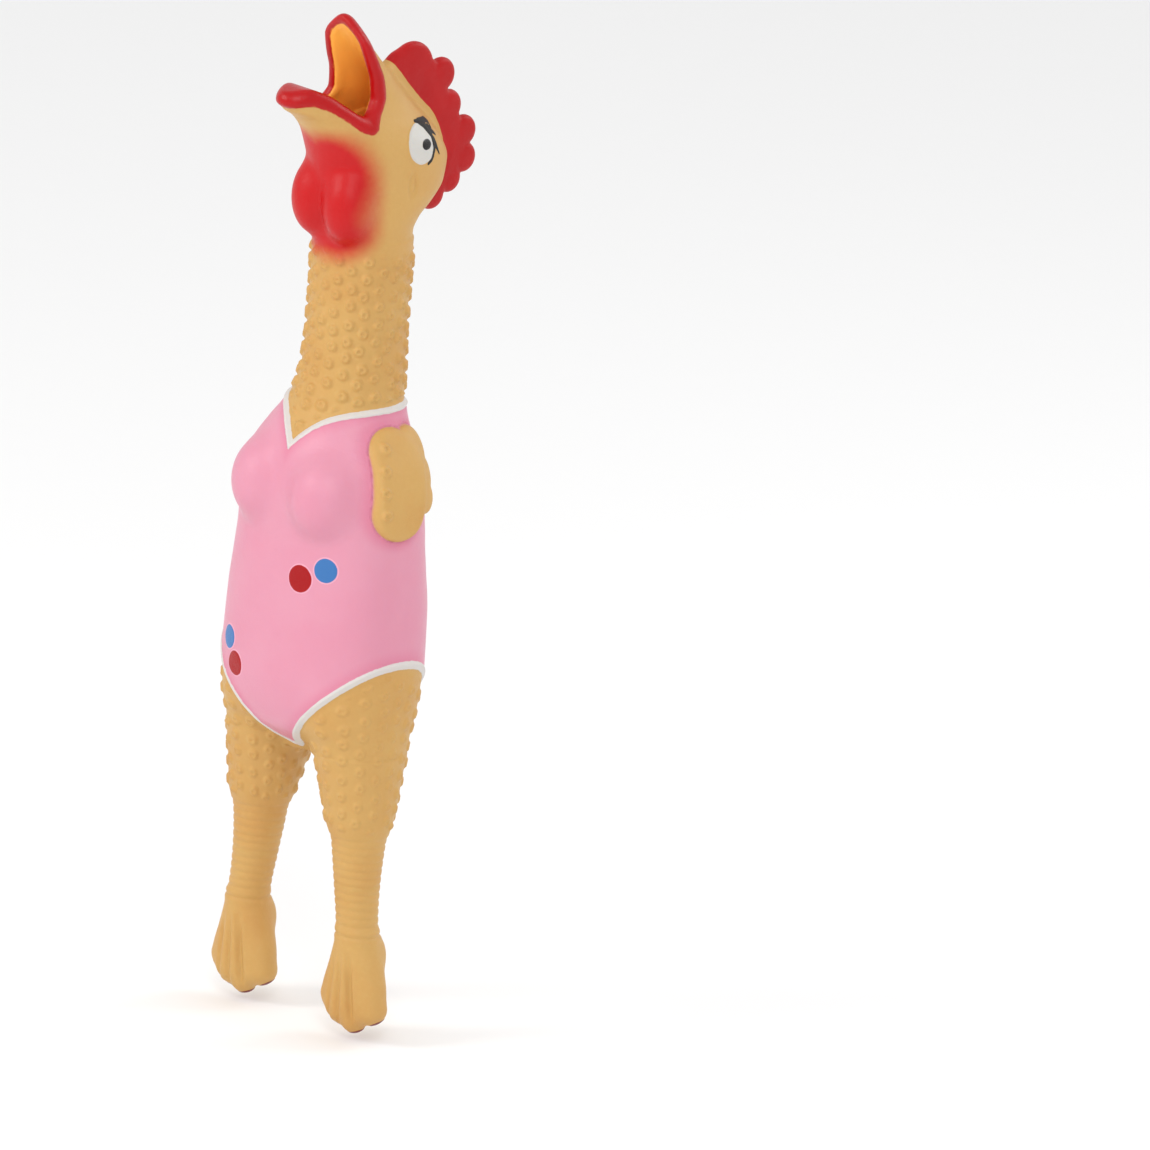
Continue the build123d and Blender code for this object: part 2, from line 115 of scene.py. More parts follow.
BUMP_ROW = 8.2
BUMP_RADIUS = 1.95
BUMP_WIDTH = 0.75
BUMP_PROUD = 1.35
BUMP_JITTER = 0.55
BUMP_MOST_ROWS = 64
THIGH_BUMPS = 0.65  # the thighs' pimples are lower than the neck's
SHANK_RING = 3.7
SHANK_RINGS_LOW = 48.6
ANKLE_CREASE = 45.6  # its height
# How far the other moulded details stand out, or go in.
THIGH_STEP = 0.55
EYE_PROUD = 0.75
PAINT_PROUD = 0.3
NAIL_PROUD = 0.25
CREASE = 0.7
SHANK_GROOVE = 0.42
TOE_GROOVE = 0.95

EYE = (10.4, 409.8)  # depth and height of the eye's middle
EYE_RADIUS = 9.0
PUPIL_HALF = 2.3  # half the pupil's height
CHEEK_DIMPLE = (5.6, 391.5, 1.8, 4.6)  # depth, height, half depth and half height

# Cross-sections: height, half width, half depth, depth of the middle, squareness (2 is an ellipse).
TRUNK = [
    (124.0, 9.0, 5.0, -6.0, 2.0),
    (129.0, 25.0, 11.5, -5.5, 2.1),
    (133.5, 33.5, 19.5, -5.0, 2.2),
    (139.0, 40.5, 26.5, -4.5, 2.3),
    (146.0, 46.0, 31.0, -4.0, 2.35),
    (154.0, 48.8, 33.6, -4.0, 2.35),
    (165.0, 50.0, 35.2, -4.0, 2.35),
    (195.0, 49.0, 35.0, -4.0, 2.35),
    (214.0, 47.2, 33.6, -4.5, 2.35),
    (228.0, 46.0, 32.6, -5.0, 2.35),
    (248.0, 45.2, 32.6, -6.5, 2.3),
    (262.0, 41.2, 30.6, -6.5, 2.25),
    (274.0, 34.6, 28.2, -4.6, 2.15),
    (284.0, 28.4, 25.6, -2.4, 2.05),
    (294.0, 24.6, 24.2, -0.6, 2.0),
    (306.0, 23.2, 23.2, 0.6, 2.0),
    (322.0, 22.4, 22.4, 0.6, 2.0),
    (345.0, 22.4, 22.4, 0.6, 2.0),
    (362.0, 21.4, 21.4, 0.6, 2.0),
]
# Height, half width, front and back: the skull and the upper beak.
SKULL = [
    (350.0, 21.0, -20.5, 21.0),
    (362.0, 22.6, -22.5, 22.0),
    (368.0, 23.0, -23.8, 22.2),
    (374.0, 23.4, -25.0, 25.5),
    (381.0, 23.8, -27.0, 34.0),
    (389.0, 24.0, -28.5, 40.5),
    (399.0, 24.2, -30.5, 42.0),
    (408.0, 23.8, -32.5, 37.5),
    (417.0, 20.6, -33.0, 29.0),
    (424.0, 17.2, -33.0, 21.5),
    (431.0, 15.2, -33.0, 14.5),
    (438.0, 14.8, -33.0, 7.0),
    (447.0, 14.3, -34.0, -2.0),
    (457.5, 12.8, -33.5, -12.0),
    (463.0, 11.2, -32.6, -16.8),
    (466.6, 9.6, -32.0, -19.0),
    (472.0, 8.0, -32.0, -19.0),
]
SCOOP_BACK = 6.0  # depth of the lower beak's back, inside the head
# Height, half width and front: the lower beak's outside.
SCOOP = [
    (392.0, 20.0, -24.0),
    (404.0, 21.6, -29.5),
    (412.0, 20.8, -35.0),
    (418.0, 19.2, -40.0),
    (424.0, 17.0, -47.0),
    (428.0, 14.8, -54.0),
    (431.5, 13.0, -56.4),
    (439.0, 10.6, -56.4),
]
# The gape seen from the side: the upper rim's depth at a height, and the lower rim's height at a depth.
UPPER_RIM = [
    (400.0, -20.0), (420.0, -20.0), (424.0, -18.4), (428.0, -15.2), (432.0, -13.4), (440.0, -14.2), (447.5, -17.0),
    (457.0, -20.4), (463.0, -22.2), (467.0, -23.2), (470.0, -24.2), (485.0, -29.0),
]
LOWER_RIM = [
    (-70.0, 433.5), (-56.0, 435.6), (-48.6, 437.0), (-39.3, 434.4), (-30.0, 428.8), (-23.0, 424.2), (-19.0, 423.0),
    (-8.0, 421.0),
]
# Height, half width, half depth and the middle's offsets to the side and in depth: a leg down to the ankle,
# and a foot.
LEG = [
    (172.0, 13.0, 20.0, -9.0, -4.5),
    (158.0, 18.5, 27.5, -7.0, -4.5),
    (146.0, 21.4, 27.2, -5.4, -4.8),
    (134.0, 20.2, 23.2, -3.6, -4.2),
    (119.0, 17.8, 19.6, -2.2, -4.0),
    (108.0, 16.3, 17.0, -0.9, -4.0),
    (98.0, 14.8, 15.0, 0.0, -4.4),
    (91.0, 12.9, 13.0, 0.4, -4.2),
    (80.0, 11.6, 11.7, 0.8, -4.0),
    (66.0, 10.4, 10.5, 1.8, -4.0),
    (52.0, 9.7, 9.8, 3.4, -4.0),
    (44.0, 10.0, 10.0, 4.4, -4.0),
]
FOOT = [
    (47.0, 9.4, 9.4, 0.0, -4.0),
    (40.0, 11.2, 10.4, 0.4, -3.8),
    (30.0, 14.4, 10.8, 0.8, -3.6),
    (20.0, 17.0, 10.4, 1.2, -3.8),
    (11.0, 16.4, 9.4, 1.2, -4.2),
    (5.0, 12.5, 7.0, 1.2, -4.4),
]
TOE_SHIFT = 0.6
# Each toe: offset to the side, lowest point, radius, depth.
TOES = [(-12.2, 9.5, 5.4, -1.8), (-4.8, 2.6, 5.6, -3.2), (3.4, 0.0, 6.0, -2.6), (12.0, 6.0, 6.2, 0.4)]
# The comb from the side: each lobe's depth, height and radius, and the web that they stand on.
COMB_LOBES = [
    (15.5, 436.6, 12.0), (21.8, 438.2, 13.0), (40.4, 433.6, 8.2), (46.4, 418.4, 7.8), (57.2, 405.6, 7.5),
    (58.6, 393.2, 7.2), (50.4, 384.4, 6.9), (40.4, 378.0, 7.2),
]
COMB_WEB = [(14.0, 437.0), (22.0, 437.0), (30.0, 434.6), (38.2, 421.4), (46.0, 410.4), (50.2, 399.2),
            (47.6, 389.8), (41.4, 384.0), (34.0, 380.0), (36.0, 396.0), (33.0, 410.0), (20.0, 425.0)]
COMB_WEB_RADIUS = 8.3
COMB_HALF = 2.7
COMB_SWELL = 0.05  # how much thicker the comb gets, for each millimetre inside its outline
COMB_ROUND = 3.2
# Where the comb's paint begins: depth at a height.
COMB_PAINT = [
    (366.0, 30.0), (370.0, 31.0), (374.5, 33.0), (379.5, 38.0), (386.0, 41.0), (395.0, 43.0), (403.5, 42.4),
    (410.0, 40.0), (418.0, 34.5), (425.0, 26.5), (433.5, 17.5), (442.5, 8.5), (448.0, 1.0), (456.0, -8.0),
]
# Soft lumps on the skin: middle and radii.
BREAST = ((19.0, -26.4, 248.6), (17.0, 18.0, 20.5))
WATTLE = ((10.2, -19.4, 382.5), (12.0, 13.0, 18.5))
HEEL = ((2.0, 7.5, 35.0), (6.0, 5.0, 8.0))
# The red paint sprayed over the wattles and the chin.
SPRAY = ((6.0, -27.0, 388.5), (17.0, 19.5, 27.5))
SPRAY_LOW = ((4.0, -23.0, 371.0), (17.0, 16.0, 11.0))
# Each wing: its side, and how far it sits back and down from the left one's place.
WINGS = [(1, 0.0, 0.0), (-1, 2.0, 5.0)]
WING_ROOT = 20.0  # the wings lie farther to the side than this
# The left wing from the side, as depths and heights: the pad's two ends and their radii, the feather tips with
# their radii, and the pimples on the front edge.
WING_PAD = ((-4.6, 267.4), (-8.4, 246.2), 14.2, 13.6)
WING_TIPS = [(6.0, 272.6, 8.8), (7.0, 261.6, 8.6), (6.0, 251.6, 7.8)]
WING_PIMPLES = [(-11.6, 273.8), (-15.4, 265.0), (-17.4, 255.6), (-17.6, 246.0)]


# ---------------------------------------------------------------- forms
def curve(points, at):
    """A smooth curve through a few points that never overshoots them."""
    x, y = (np.array(column, float) for column in zip(*points))
    run = np.diff(x)
    rise = np.diff(y) / run
    slope = np.zeros(len(x))
    same = rise[:-1] * rise[1:] > 0
    slope[1:-1][same] = 2 * rise[:-1][same] * rise[1:][same] / (rise[:-1] + rise[1:])[same]
    slope[0], slope[-1] = rise[0], rise[-1]
    at = np.clip(at, x[0], x[-1])
    i = np.clip(np.searchsorted(x, at) - 1, 0, len(run) - 1)
    t = (at - x[i]) / run[i]
    rest = 1 - t
    bulge = rest * (slope[i] - rise[i]) - t * (slope[i + 1] - rise[i])
    return (y[i] + t * (y[i + 1] - y[i]) + t * rest * run[i] * bulge).astype(np.float32)


def ramp(value, low, high):
    """From 0 at low to 1 at high, easing at both ends."""
    t = np.clip((value - low) / (high - low), 0, 1)
    return t * t * (3 - 2 * t)


def column(rows, index):
    return [(row[0], row[index]) for row in rows]


def soft_min(a, b, blend):
    """The union of two forms, with a fillet."""
    if blend <= 0:
        return np.minimum(a, b)
    h = np.maximum(blend - np.abs(a - b), 0) / blend
    return np.minimum(a, b) - h * h * blend / 4


def soft_max(a, b, blend):
    return -soft_min(-a, -b, blend)


def oval(x, y, half_x, half_y, power=2.0):
    """Distance to an ellipse, or to a squarer oval."""
    px, py = np.abs(x) / half_x, np.abs(y) / half_y
    if np.ndim(power) == 0 and power == 2.0:
        reach = np.sqrt(px * px + py * py)
        slope = np.sqrt((px / half_x) ** 2 + (py / half_y) ** 2) / np.maximum(reach, 1e-3)
    else:
        reach = (px**power + py**power) ** (1 / power)
        slope = np.sqrt((px ** (power - 1) / half_x) ** 2 + (py ** (power - 1) / half_y) ** 2)
        slope = slope * np.maximum(reach, 1e-3) ** (1 - power)
    return (reach - 1) / np.maximum(slope, 1e-3)


def ellipsoid(x, y, z, middle, radii):
    px, py, pz = ((a - m) / r for a, m, r in zip((x, y, z), middle, radii))
    reach = np.sqrt(px * px + py * py + pz * pz)
    slope = np.sqrt((px / radii[0]) ** 2 + (py / radii[1]) ** 2 + (pz / radii[2]) ** 2)
    return reach * (reach - 1) / np.maximum(slope, 1e-3)


def rod(point, start, end, start_radius, end_radius=None):
    """Distance to a rod between two points in any number of dimensions, with round ends."""
    end_radius = start_radius if end_radius is None else end_radius
    line = [e - s for s, e in zip(start, end)]
    length = sum(c * c for c in line)
    t = np.clip(sum((p - s) * c for p, s, c in zip(point, start, line)) / length, 0, 1)
    away = sum((p - s - c * t) ** 2 for p, s, c in zip(point, start, line))
    return np.sqrt(away) - start_radius - (end_radius - start_radius) * t


def trunk(x, y, z):
    width, depth, middle, power = (curve(column(TRUNK, i), z) for i in (1, 2, 3, 4))
    form = oval(x, y - middle, width, depth, power)
    return np.maximum(form, TRUNK[0][0] - z)


def skull(x, y, z):
    width, front, back = (curve(column(SKULL, i), z) for i in (1, 2, 3))
    form = oval(x, y - (front + back) / 2, width, (back - front) / 2)
    aside = TIP_FALL[0] * (np.sqrt(x * x + TIP_ROUND[0] ** 2) - TIP_ROUND[0])
    along = TIP_FALL[1] * (np.sqrt((y - TIP_DEPTH) ** 2 + TIP_ROUND[1] ** 2) - TIP_ROUND[1])
    dome = z - TIP_TOP + aside + along
    return np.maximum(soft_max(form, dome, 2.0), SKULL[0][0] - z)


def scoop(x, y, z):
    width, front = (curve(column(SCOOP, i), z) for i in (1, 2))
    middle = (front + SCOOP_BACK) / 2
    form = oval(x, y - middle, width, (SCOOP_BACK - front) / 2)
    return np.maximum(np.maximum(form, z - SCOOP[-1][0]), SCOOP[0][0] - z)


def gape(y, z):
    """The open wedge between the beaks, seen from the side. Negative in the gape."""
    over = curve(LOWER_RIM, y) - z
    before = y - curve(UPPER_RIM, z)
    over, before = over * GAPE_LEAN[0], before * GAPE_LEAN[1]
    inside = np.minimum(soft_max(over, before, GAPE_CORNER), 0)
    return inside + np.hypot(np.maximum(over, 0), np.maximum(before, 0))


def breast(x, y, z):
    return ellipsoid(x, y, z, *BREAST)


def wattle(x, y, z):
    return ellipsoid(x, y, z, *WATTLE)


def disc(y, z, depth, height, radius):
    """A round form seen from the side. Negative inside."""
    return np.sqrt((y - depth) ** 2 + (z - height) ** 2) - radius


def comb(x, y, z):
    """The comb's plate: round lobes on a web, rounded at its edges."""
    outline = disc(y, z, *COMB_LOBES[0])
    for lobe in COMB_LOBES[1:]:
        outline = soft_min(outline, disc(y, z, *lobe), 1.2)
    for start, end in zip(COMB_WEB, COMB_WEB[1:]):
        outline = soft_min(outline, rod((y, z), start, end, COMB_WEB_RADIUS), 1.0)
    return soft_max(outline, np.abs(x) - COMB_HALF - np.clip(-outline, 0, 12) * COMB_SWELL, COMB_ROUND)


def wing_pad(y, z):
    """The wing's thick front part, seen from the side. Negative inside."""
    return rod((y, z), *WING_PAD)


def wing_feathers(y, z):
    """The lower layer behind it, with round feather tips."""
    tips = disc(y, z, *WING_TIPS[0])
    for tip in WING_TIPS[1:]:
        tips = soft_min(tips, disc(y, z, *tip), 0.8)
    return tips


def wing(x, y, z):
    """The left wing: a pad in two layers that hugs the shoulder."""
    body = trunk(x, y, z)
    # The pad gets thinner towards its top and thicker towards its back.
    thick = 4.2 - 1.4 * ramp(z, 266.0, 284.0) + 2.4 * ramp(y, -8.0, 10.0)
    pad = soft_max(wing_pad(y, z), body - thick, 3.4)
    feathers = soft_max(wing_feathers(y, z), body - thick + 0.7, 2.6)
    return np.maximum(soft_min(pad, feathers, 0.8), -body - 4.0)


def wing_paint(x, y, z):
    """Millimetres inside either wing's outline."""
    best = np.full(len(x), NOWHERE)
    for side, back, down in WINGS:
        there = (x * side > WING_ROOT) & (np.abs(z - 258.0) < 46.0)
        inside = -np.minimum(wing_pad(y - back, z + down), wing_feathers(y - back, z + down))
        best = np.where(there, np.maximum(best, inside), best)
    return best


def leg_form(rows, x, y, z, low, high):
    width, depth, aside, back = (curve(column(rows[::-1], i), z) for i in (1, 2, 3, 4))
    form = oval(x - LEG_SPLAY - aside, y - back, width, depth)
    return soft_max(np.maximum(form, z - high), low - z, 3.0)


def leg(x, y, z):
    return leg_form(LEG, x, y, z, 43.0, 172.0)


def foot(x, y, z):
    """A webbed foot that hangs down, about the ankle's axis: both feet are the same moulding."""
    form = leg_form(FOOT, x + LEG_SPLAY, y, z, 6.0, 47.0)
    y = y - FOOT_DEPTH
    form = soft_min(form, ellipsoid(x, y, z, *HEEL), 6.0)
    for aside, tip, radius, depth in TOES:
        low = (aside + TOE_SHIFT, depth, tip + radius)
        high = (aside * 0.62 + TOE_SHIFT, depth - 1.0, 27.0)
        form = soft_min(form, rod((x, y, z), low, high, radius, radius * 0.72), 3.6)
    for first, second in zip(TOES, TOES[1:]):
        aside = (first[0] + second[0]) / 2 + TOE_SHIFT
        depth = (first[3] + second[3]) / 2 - 10.2
        low, high = (aside, depth, 8.0), (aside * 0.6, depth - 0.4, 37.0)
        form = soft_max(form, -rod((x, y, z), low, high, 2.8, 1.6), 1.6)
    return form


# ---------------------------------------------------------------- the field
class Field:
    """Signed distances on a regular grid, negative inside the skin."""

    def __init__(self, low, high):
        self.axes = [np.arange(a, b + STEP, STEP, dtype=np.float32) for a, b in zip(low, high)]
        self.values = np.full([len(axis) for axis in self.axes], FAR, np.float32)

    def window(self, low, high):
        """The grid's part within a box: its place in the grid, and its coordinates."""
        place_in = tuple(
            slice(int(np.searchsorted(axis, a)), int(np.searchsorted(axis, b)))
            for axis, a, b in zip(self.axes, low, high)
        )
        x, y, z = (axis[part] for axis, part in zip(self.axes, place_in))
        return place_in, x[:, None, None], y[None, :, None], z[None, None, :]

    def change(self, low, high, rule):
        """Replaces the values within a box by rule(values, x, y, z)."""
        part, x, y, z = self.window(low, high)
        self.values[part] = rule(self.values[part], x, y, z)

    def add(self, low, high, form, blend):
        self.change(low, high, lambda v, x, y, z: soft_min(v, form(x, y, z), blend))


def beak_outside(x, y, z):
    return soft_min(skull(x, y, z), scoop(x, y, z), 5.0)


def lip_bead(outside, wedge, grow=0.0):
    """The flattened round lip that runs along the rim."""
    across = (outside + LIP_SINK) / (LIP_THICK + grow)
    along = (wedge - LIP_WIDE + LIP_INTO_GAPE) / (LIP_WIDE + grow)
    return (np.sqrt(across**2 + along**2) - 1) * (LIP_THICK + grow)


def open_beak(values, x, y, z):
    """Cuts the gape, hollows the mouth down to the throat, and lays the round lip along the rim."""
    outside = beak_outside(x, y, z)
    wedge = gape(y, z)
    cut = soft_max(values, -wedge, 1.2)
    hollow = soft_max(outside + WALL, THROAT_FLOOR - z, 7.0)
    cut = soft_max(cut, -hollow, 1.5)
    bead = np.maximum(lip_bead(outside, wedge), LIP_LOW - z)
    return soft_min(cut, bead, 1.2)


def chicken_field():
    """The left half's forms, mirrored, and then the feet and the wings."""
    span = (0.0, -68.0, -4.0), (62.0, 72.0, 476.0)
    half = Field(*span)
    half.add((0, -60, 100), (62, 50, 365), trunk, 0)
    half.add((0, -60, 40), (62, 50, 175), leg, 7.0)
    half.add((0, -60, 212), (62, 30, 285), breast, 4.5)
    half.add((0, -64, 345), (62, 60, 474), beak_outside, 4.0)
    half.add((0, -50, 350), (40, 14, 412), wattle, 4.5)
    half.add((0, -10, 355), (14, 72, 460), comb, 5.0)
    half.change((0, -68, 385), (62, 40, 476), open_beak)
    whole = Field(*span)
    whole.axes[0] = np.concatenate([-half.axes[0][:0:-1], half.axes[0]])
    whole.values = np.concatenate([half.values[:0:-1], half.values])
    for side in (-1, 1):
        middle = side * FOOT_SPLAY
        low, high = (middle - 26, -28, -4), (middle + 28, 24, 52)
        whole.add(low, high, lambda x, y, z: foot(x - middle, y, z), 2.5)
    for side, back, down in WINGS:
        low, high = sorted((side * 24, side * 60))
        shift = lambda x, y, z: wing(x * side, y - back, z + down)
        whole.add((low, -34, 216), (high, 30, 292), shift, 0.9)
    return whole


def skin_surface(field):
    """The field's surface as points and quads."""
    band = 3 * STEP
    grid = openvdb.FloatGrid(band)
    grid.gridClass = openvdb.GridClass.LEVEL_SET
    grid.copyFromArray(np.clip(field.values, -band, band))
    points, quads = grid.convertToQuads()
    low = np.array([axis[0] for axis in field.axes])
    return points * STEP + low, quads.astype(np.int64)


# ---------------------------------------------------------------- mesh helpers
def sides_of(quads):
    """Each quad's four sides, as pairs of points in its own order."""
    return np.concatenate([quads[:, [i, (i + 1) % 4]] for i in range(4)])


def edges_of(quads):
    return np.unique(np.sort(sides_of(quads), axis=1), axis=0)


def smoothed(points, edges, rounds, share=0.5):
    """Evens out the surface: each point moves towards the middle of its neighbours."""
    count = len(points)
    ends = np.concatenate([edges[:, 0], edges[:, 1]])
    others = np.concatenate([edges[:, 1], edges[:, 0]])
    degree = np.maximum(np.bincount(ends, minlength=count), 1)[:, None]
    for turn in range(rounds):
        push = share if turn % 2 == 0 else -share * 1.04
        total = np.stack([np.bincount(ends, points[others, i], count) for i in range(3)], axis=1)
        points = points + (total / degree - points) * push
    return points


def face_normals(points, quads):
    return np.cross(points[quads[:, 2]] - points[quads[:, 0]], points[quads[:, 3]] - points[quads[:, 1]])


def point_normals(points, quads):
    flat = face_normals(points, quads)
    total = np.zeros_like(points)
    for corner in range(4):
        for i in range(3):
            total[:, i] += np.bincount(quads[:, corner], flat[:, i], len(points))
    return total / np.maximum(np.linalg.norm(total, axis=1), 1e-12)[:, None]


def bell(distance, width):
    return np.exp(-((distance / width) ** 2))


# ---------------------------------------------------------------- paint lines
def neckline(x, y, z):
    """Millimetres below the neckline, along the skin. Positive in the swimsuit."""
    turn = np.degrees(np.arctan2(np.abs(x), -(y + 2.0)))
    fade = np.exp(-turn / NECKLINE_TURN)
    height = NECKLINE_LOW + NECKLINE_RISE * (1 - fade)
    slope = NECKLINE_RISE / NECKLINE_TURN * fade / np.radians(33.0)
    return (height - z) / np.sqrt(1 + slope**2)


def hem(x, z):
    """Millimetres above the leg openings' hem. Positive in the swimsuit."""
    return (z - HEM_LOW - np.sqrt(x * x + 9.0)) / math.sqrt(2)


def spots(x, y, z, places):
    """Millimetres inside the round spots, each on the trunk's front or back at a given side and height."""
    nearest = np.full(len(x), FAR)
    for aside, height, facing, radius in places:
        half_width, half_depth, middle, power = (float(curve(column(TRUNK, i), height)) for i in (1, 2, 3, 4))
        reach = half_depth * (1 - (abs(aside) / half_width) ** power) ** (1 / power)
        depth = middle + facing * reach
        away = np.sqrt((x - aside) ** 2 + (y - depth) ** 2 + (z - height) ** 2)
        nearest = np.minimum(nearest, away - radius)
    return -nearest


# Each spot: distance to the side, height, facing (-1 is the belly) and radius.
RED_SPOTS = [(15.8, 211.4, -1, 6.3), (-21.7, 162.5, -1, 5.6), (-18.0, 226.0, 1, 5.6), (24.0, 178.0, 1, 5.6)]
BLUE_SPOTS = [(27.8, 217.6, -1, 5.6), (-28.5, 173.0, -1, 5.4), (-30.0, 219.0, 1, 5.4), (12.5, 187.0, 1, 5.4)]

# The black lid and its lashes, as strokes of a brush about the eye's middle: two ends and their widths.
LASH = [
    ((-0.8, 9.6), (4.6, 7.8), 0.5, 2.0), ((4.6, 7.8), (8.4, 3.0), 2.0, 1.7), ((8.4, 3.0), (8.9, -3.0), 1.6, 1.3),
    ((8.9, -3.0), (6.4, -7.6), 1.3, 0.9), ((6.4, -7.6), (4.2, -9.2), 0.9, 0.5), ((2.0, 9.6), (8.6, 8.6), 0.6, 0.9),
    ((8.6, 8.6), (11.6, 7.2), 0.9, 0.5), ((11.6, 7.2), (11.8, 5.0), 0.5, 0.25), ((9.0, 5.4), (13.4, 1.8), 1.3, 0.2),
    ((9.6, 0.6), (13.4, -6.4), 1.3, 0.15),
]


def eye_distances(x, y, z):
    """How far inside the eye's white, the pupil and the lashes a point is."""
    dy, dz = y - EYE[0], z - EYE[1]
    away = np.sqrt(dy * dy + dz * dz)
    white = EYE_RADIUS - away
    pupil = PUPIL_HALF - np.sqrt(((dy - 2.4) / 1.45) ** 2 + (dz + 0.5) ** 2)
    lash = np.full(len(x), NOWHERE)
    for start, end, radius, thin in LASH:
        lash = np.maximum(lash, 0.35 - rod((dy, dz), start, end, radius, thin))
    beside = np.where(np.abs(x) > 12.0, 0.0, NOWHERE)
    return white + beside, pupil + beside, lash + beside


def bump_height(turn, height, radius, columns, start, seed):
    """Pimples in staggered columns round a limb. turn is the angle round it in degrees."""
    rng = np.random.default_rng(seed)
    jitter = rng.normal(0, BUMP_JITTER, (2, columns, BUMP_MOST_ROWS))
    pitch = 360.0 / columns
    best = np.full(len(turn), FAR)
    base = np.floor(turn / pitch)
    for column_step in (0, 1):
        at = base + column_step
        which = (at % columns).astype(int)
        shift = np.where(which % 2 == 0, 0.0, BUMP_ROW / 2)
        row = np.round((height - start - shift) / BUMP_ROW)
        for row_step in (-1, 0, 1):
            r = np.clip(row + row_step, 0, BUMP_MOST_ROWS - 1).astype(int)
            across = np.radians(turn - at * pitch) * radius - jitter[0, which, r]
            up = height - start - shift - (row + row_step) * BUMP_ROW - jitter[1, which, r]
            best = np.minimum(best, np.sqrt(across**2 + up**2))
    return pimple(best)


def pimple(away):
    """A low round pimple with a pinhole in its middle."""
    dome = 1 - ramp(away, BUMP_RADIUS * 0.6, BUMP_RADIUS * 1.62)
    return BUMP_PROUD * (0.75 * dome + 0.45 * bell(away - BUMP_RADIUS * 0.85, BUMP_WIDTH)) - 0.4 * bell(away, 0.65)


def wing_bumps(x, y, z):
    """A row of pimples down each wing's front edge."""
    best = np.full(len(y), FAR)
    for side, back, down in WINGS:
        for depth, height in WING_PIMPLES:
            away = np.sqrt((y - depth - back) ** 2 + (z - height + down) ** 2)
            best = np.where(x * side > WING_ROOT, np.minimum(best, away), best)
    return pimple(best)


def toe_grooves(x, z):
    """The shallow lines between the toes, on the front and the back of both feet."""
    depth = np.zeros(len(x))
    fade = ramp(z, 1.5, 7.0) * ramp(z, 39.0, 25.0)
    for first, second in zip(TOES, TOES[1:]):
        aside = (first[0] + second[0]) / 2
        line = aside * (1 - 0.42 * np.clip(z / 37.0, 0, 1)) + TOE_SHIFT
        for side in (-1, 1):
            depth = np.maximum(depth, TOE_GROOVE * fade * bell(x - side * FOOT_SPLAY - line, 1.15))
    return depth


def paint_distances(points):
    """Every paint line as millimetres inside it, measured on the moulding before its relief."""
    x, y, z = points.T
    side_x = np.abs(x)
    wedge = gape(y, z)
    outside = beak_outside(side_x, y, z)
    lip = np.minimum(-lip_bead(outside, wedge, LIP_PAINT_OVER), outside + LIP_PAINT_DEEP)
    lip = np.where(z > LIP_LOW + 2.0, lip, NOWHERE)
    # Inside the mouth: where its orange colour, brightened as a painted glow of light through the latex, begins.
    in_mouth = np.minimum(-outside - MOUTH_PAINT_IN, z - MOUTH_PAINT_LOW)
    in_mouth = np.where((z > MOUTH_PAINT_LOW + 5.0) & (y < 36), in_mouth, NOWHERE)
    white, pupil, lash = eye_distances(x, y, z)
    flat = np.minimum(neckline(x, y, z), hem(x, z))
    feather = wing_paint(x, y, z)
    spray = soft_min(ellipsoid(side_x, y, z, *SPRAY), ellipsoid(side_x, y, z, *SPRAY_LOW), 6.0)
    nails = np.full(len(x), NOWHERE)
    for side in (-1, 1):
        for aside, tip, radius, depth in TOES:
            across = side * FOOT_SPLAY + aside + TOE_SHIFT + radius * 0.3
            middle = (across, depth + FOOT_DEPTH + radius * 0.3, tip + 0.8)
            nails = np.maximum(nails, -ellipsoid(x, y, z, middle, (radius * 0.8, radius * 0.8, 2.6)))
    return {
        "suit": flat,
        "feather": feather,
        "red_spot": spots(x, y, z, RED_SPOTS),
        "blue_spot": spots(x, y, z, BLUE_SPOTS),
        "lip": lip,
        "mouth": in_mouth,
        "comb_red": np.minimum(2.0 - comb(x, y, z), (y - curve(COMB_PAINT, z)) * 0.75),
        "eye_white": white,
        "pupil": pupil,
        "lash": lash,
        "spray": -spray,
        "nail": nails,
    }


